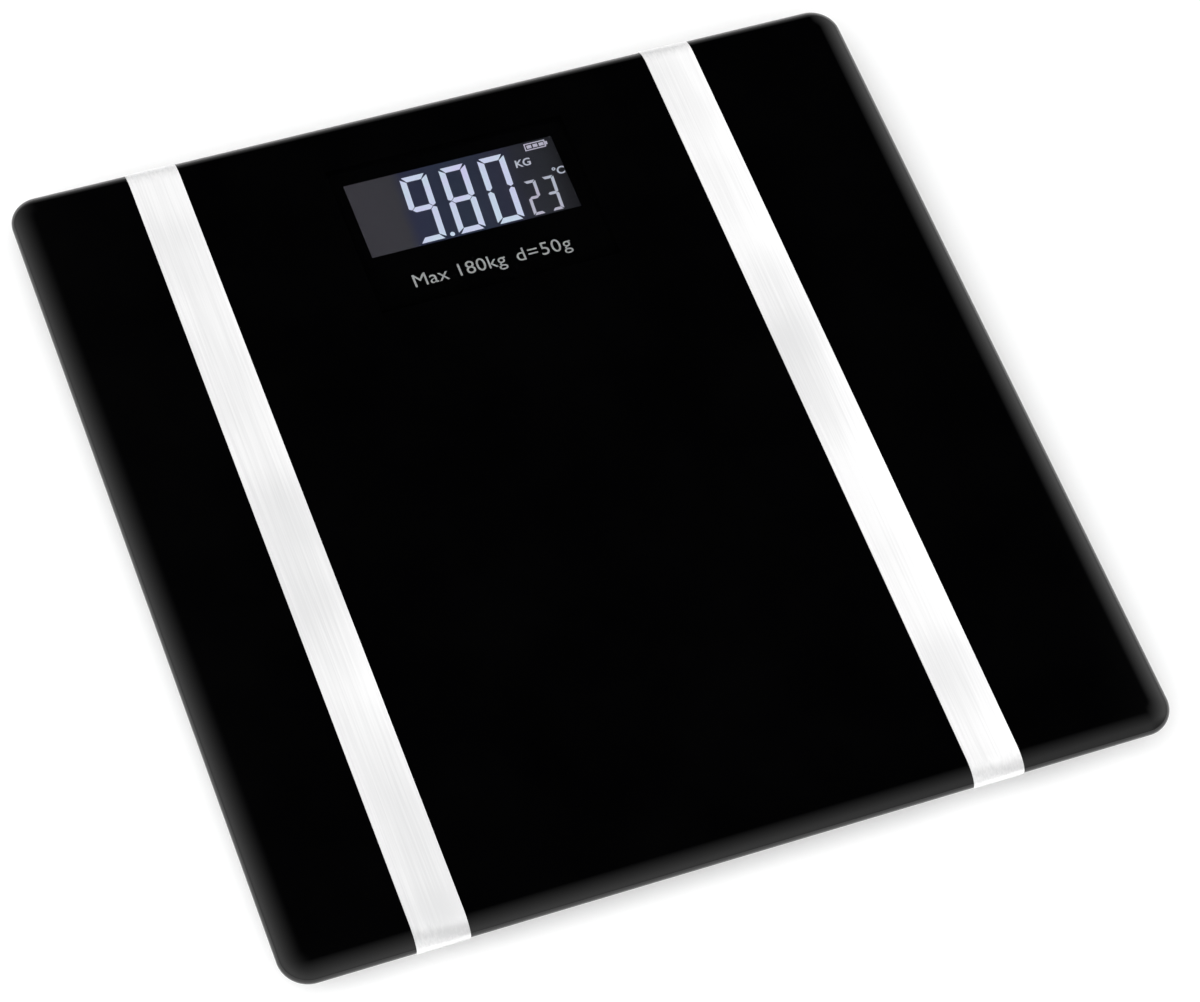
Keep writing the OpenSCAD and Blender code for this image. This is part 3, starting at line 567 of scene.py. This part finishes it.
def make_strip(name, node):
    low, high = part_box(node)
    # section across the strip: flat below, with its two upper edges rounded
    r = STRIP_EDGE_R
    section = [(low.x, 0), (high.x, 0)]
    section += arc(high.x - r, STRIP_T - r, r, r, 0, 90, STRIP_EDGE_STEPS)
    section += arc(low.x + r, STRIP_T - r, r, r, 90, 180, STRIP_EDGE_STEPS)
    path = strip_path()
    rings = []
    for i, (y, z) in enumerate(path):
        before, after = Vector(path[max(i - 1, 0)]), Vector(path[min(i + 1, len(path) - 1)])
        along = (after - before).normalized()
        # walking from under the rear edge, over the top and forwards, outside is on the right hand
        outside = Vector((along.y, -along.x))
        rings.append([(x, y + outside.x * h, z + outside.y * h) for x, h in section])
    verts, faces = loft(rings)
    strip = mesh_piece(name, verts, faces, MATERIALS["electrode_steel"])
    smooth_by_angle(strip)
    return place(strip, "platform", "electrode_steel", node)


# ---- display ----

DIGIT_W = 9.6 * MM
DIGIT_H = 27.4 * MM
DIGIT_STROKE = 2.1 * MM
DIGIT_GAP = 0.16 * MM
DIGIT_SLANT = 0.065
DIGIT_FOOT = 95.7 * MM
DIGIT_PITCH = 14.0 * MM
FIRST_DIGIT_X = -21.6 * MM
DOT_R = 0.85 * MM
DOT_POINTS = 20
SMALL_W = 4.3 * MM
SMALL_H = 14.2 * MM
SMALL_STROKE = 1.1 * MM
SMALL_GAP = 0.04 * MM
SMALL_X = 19.4 * MM
SMALL_PITCH = 6.6 * MM
SEGMENTS = {"0": "abcdef", "2": "abdeg", "3": "abcdg", "8": "abcdefg", "9": "abcdfg"}
INK_T = 0.01 * MM
INK_LIFT = 0.02 * MM        # the lit marks float this far above the liquid crystal panel
UNIT_SIZE = 4.2 * MM
MARK_SIZE = 7.3 * MM
MARK_Y = 79.4 * MM


def segment_shapes(w, h, t, g):
    """The seven strokes of a digit as outlines, each a gap g from the next."""
    mid = h / 2
    top = [(g + t * 0.25, h), (w - g - t * 0.25, h), (w - t - g, h - t), (t + g, h - t)]
    upper_left = [(0, h - t * 0.25 - g), (t, h - t - g), (t, mid + t * 0.5 + g),
                  (t * 0.5, mid + g), (0, mid + t * 0.35)]
    centre = [(t * 0.5 + g, mid), (t + g, mid + t * 0.5), (w - t - g, mid + t * 0.5),
              (w - t * 0.5 - g, mid), (w - t - g, mid - t * 0.5), (t + g, mid - t * 0.5)]
    shapes = {"a": top, "f": upper_left, "g": centre}
    shapes["d"] = [(x, h - y) for x, y in top]
    shapes["e"] = [(x, h - y) for x, y in upper_left]
    shapes["b"] = [(w - x, y) for x, y in upper_left]
    shapes["c"] = [(w - x, h - y) for x, y in upper_left]
    return shapes


def flat_shapes(outlines, z, thickness):
    """Verts and faces of thin closed plates with the given outlines."""
    verts, faces = [], []
    for outline in outlines:
        start, count = len(verts), len(outline)
        verts += [(x, y, z) for x, y in outline] + [(x, y, z + thickness) for x, y in outline]
        faces.append([start + k for k in range(count)][::-1])
        faces.append([start + count + k for k in range(count)])
        for k in range(count):
            j = (k + 1) % count
            faces.append([start + k, start + j, start + count + j, start + count + k])
    return verts, faces


def digit_outlines(digit, x0, w, h, stroke, gap):
    """The strokes of one digit where they lie, leaning with the display's slant."""
    shapes = segment_shapes(w, h, stroke, gap)
    outlines = []
    for key in SEGMENTS[digit]:
        outlines.append([(x0 + x + DIGIT_SLANT * y, DIGIT_FOOT + y) for x, y in shapes[key]])
    return outlines


def lit_material(name, first, second):
    """A lit mark that drifts between two tints."""
    material, tree, shader = node_material(name)
    shader.inputs["Base Color"].default_value = (0.02, 0.02, 0.02, 1)
    shader.inputs["Roughness"].default_value = 0.4
    tint = ramp(tree, noise(tree, 90, 3), [(0.35, first), (0.65, second)])
    tree.links.new(tint, shader.inputs["Emission Color"])
    shader.inputs["Emission Strength"].default_value = 1.0
    return material


def lettering(name, text, size, x, y, z, material, spacing=1.0, slant=0.0, bold=0.0):
    """Flat lettering as a mesh, from the built-in font."""
    curve = bpy.data.curves.new(name, "FONT")
    curve.body = text
    curve.size = size
    curve.space_character = spacing
    curve.shear = slant
    curve.offset = bold
    curve.resolution_u = 6
    holder = bpy.data.objects.new(name + "_outline", curve)
    scene.collection.objects.link(holder)
    bpy.context.view_layer.update()
    mesh = bpy.data.meshes.new_from_object(holder.evaluated_get(bpy.context.evaluated_depsgraph_get()))
    bpy.data.objects.remove(holder)
    bm = bmesh.new()
    bm.from_mesh(mesh)
    bmesh.ops.remove_doubles(bm, verts=bm.verts, dist=1e-7)
    extruded = bmesh.ops.extrude_face_region(bm, geom=bm.faces[:])
    lifted = [e for e in extruded["geom"] if isinstance(e, bmesh.types.BMVert)]
    bmesh.ops.translate(bm, verts=lifted, vec=(0, 0, INK_T))
    bmesh.ops.translate(bm, verts=bm.verts, vec=(x, y, z))
    bmesh.ops.recalc_face_normals(bm, faces=bm.faces)
    bm.to_mesh(mesh)
    bm.free()
    mesh.materials.clear()
    mesh.materials.append(material)
    piece = bpy.data.objects.new(name, mesh)
    scene.collection.objects.link(piece)
    return piece


def lcd_painted_glow_material():
    """Glowing cell: grey left of the digits is painted lamp light, deep blue between them, fading out at the
    right.
    """
    material, tree, shader = node_material("lcd_cell_painted_light")
    shader.inputs["Roughness"].default_value = 0.22
    shader.inputs["Base Color"].default_value = (0.01, 0.01, 0.012, 1)
    coords = tree.nodes.new("ShaderNodeTexCoord")
    axes = tree.nodes.new("ShaderNodeSeparateXYZ")
    tree.links.new(coords.outputs["Object"], axes.inputs["Vector"])
    lean = maths(tree, "MULTIPLY", axes.outputs["Y"], DIGIT_SLANT)
    across = maths(tree, "SUBTRACT", axes.outputs["X"], lean)
    cloudy = maths(tree, "ADD", across, maths(tree, "MULTIPLY", noise(tree, 160, 3), 2 * MM))
    left = WINDOW_X - WINDOW_W / 2 - WINDOW_Y * DIGIT_SLANT
    along = spread(tree, cloudy, 0, 1, left, left + WINDOW_W)
    # painted lamp light: the grey stops on the left glow in place of lamp light falling on the cell
    tint = ramp(tree, along, [
        (0.00, (0.030, 0.028, 0.034)), (0.22, (0.027, 0.026, 0.031)), (0.27, (0.012, 0.015, 0.040)),
        (0.52, (0.011, 0.018, 0.038)), (0.74, (0.013, 0.014, 0.032)), (0.80, (0.011, 0.012, 0.019)),
        (0.93, (0.008, 0.009, 0.012)), (1.00, (0.002, 0.002, 0.003))])
    tree.links.new(tint, shader.inputs["Emission Color"])
    shader.inputs["Emission Strength"].default_value = 1.0
    return material


def battery_mark():
    """A small battery with three bars, as outlines."""
    x0, y0, w, h, line = 25.6 * MM, 121.7 * MM, 7.6 * MM, 3.0 * MM, 0.42 * MM
    boxes = [(0, 0, w, line), (0, h - line, w, h), (0, line, line, h - line), (w - line, line, w, h - line)]
    boxes.append((w + 0.05 * MM, h * 0.28, w + 0.75 * MM, h * 0.72))
    for k in range(3):
        left = 2 * line + k * 2.2 * MM
        boxes.append((left, 2 * line, left + 1.7 * MM, h - 2 * line))
    corners = [[(a, b), (c, b), (c, d), (a, d)] for a, b, c, d in boxes]
    return [[(x0 + x + DIGIT_SLANT * y, y0 + y) for x, y in corner] for corner in corners]


def make_display():
    """The lit reading, temperature, units and battery mark, on the liquid crystal panel."""
    lit = lit_material("lit_segments", (0.60, 0.58, 0.84), (0.56, 0.66, 0.80))
    small_lit = lit_material("lit_small_marks", (0.46, 0.42, 0.54), (0.42, 0.47, 0.54))
    cell = nodes["lcd_panel"]
    cell.data.materials.clear()
    cell.data.materials.append(lcd_painted_glow_material())
    z = lcd_hi.z + INK_LIFT
    outlines = []
    for column, digit in enumerate("980"):
        x0 = FIRST_DIGIT_X + DIGIT_PITCH * column
        outlines += digit_outlines(digit, x0, DIGIT_W, DIGIT_H, DIGIT_STROKE, DIGIT_GAP)
    dot_x = FIRST_DIGIT_X + (DIGIT_W + DIGIT_PITCH) / 2
    dot_end = 360 - 360 / DOT_POINTS
    outlines.append(arc(dot_x, DIGIT_FOOT + DOT_R, DOT_R, DOT_R, 0, dot_end, DOT_POINTS - 1))
    verts, faces = flat_shapes(outlines, z, INK_T)
    place(mesh_piece("weight_digits", verts, faces, lit, smooth=False), "platform", "lcd_glass")
    small = []
    for column, digit in enumerate("23"):
        x0 = SMALL_X + SMALL_PITCH * column
        small += digit_outlines(digit, x0, SMALL_W, SMALL_H, SMALL_STROKE, SMALL_GAP)
    verts, faces = flat_shapes(small, z, INK_T)
    place(mesh_piece("temperature_digits", verts, faces, small_lit, smooth=False), "platform", "lcd_glass")
    units = [("weight_unit", "KG", 20.0 * MM, 116.1 * MM), ("temperature_unit", "°C", 31.2 * MM, 109.6 * MM)]
    for name, text, x, y in units:
        unit = lettering(name, text, UNIT_SIZE, x, y, z, small_lit, slant=0.1, bold=0.09 * MM)
        place(unit, "platform", "lcd_glass")
    verts, faces = flat_shapes(battery_mark(), z, INK_T)
    place(mesh_piece("battery_mark", verts, faces, small_lit, smooth=False), "platform", "lcd_glass")


def make_printed_line():
    """The scale's capacity and division, printed in pale ink behind the clear glass."""
    ink, tree, shader = node_material("pale_ink")
    shader.inputs["Roughness"].default_value = 0.6
    tone = ramp(tree, noise(tree, 900, 4), [(0.3, (0.25, 0.25, 0.25)), (0.7, (0.33, 0.33, 0.33))])
    tree.links.new(tone, shader.inputs["Base Color"])
    z = GLASS_BOTTOM + (PRINT_GAP - INK_T) / 2
    marks = [("capacity_mark", "Max 180kg", -29.4 * MM, 1.04), ("division_mark", "d=50g", 7.4 * MM, 1.1)]
    for name, text, x, spacing in marks:
        mark = lettering(name, text, MARK_SIZE, x, MARK_Y, z, ink, spacing)
        place(mark, "platform", "back_print")


# ---- making ----

make_camera()
make_world()
make_floor()
finish_cad_nodes()
make_glass()
steel = [make_strip("left_strip", "left_electrode_strip"),
         make_strip("right_strip", "right_electrode_strip")]
make_display()
make_printed_line()

area_light("overhead", (-0.35, -0.45, 1), distance=1.7, size=1.6, radiance=3.8)
# this lamp lights only the strips, which mirror it to the camera
strip_lamp = area_light("strip_lamp", MIRRORED, distance=1.5, size=2.6, radiance=0.86, mirrored=True)
metal_only = bpy.data.collections.new("metal_only")
for obj in steel:
    metal_only.objects.link(obj)
strip_lamp.light_linking.receiver_collection = metal_only

scene.view_settings.view_transform = "Standard"
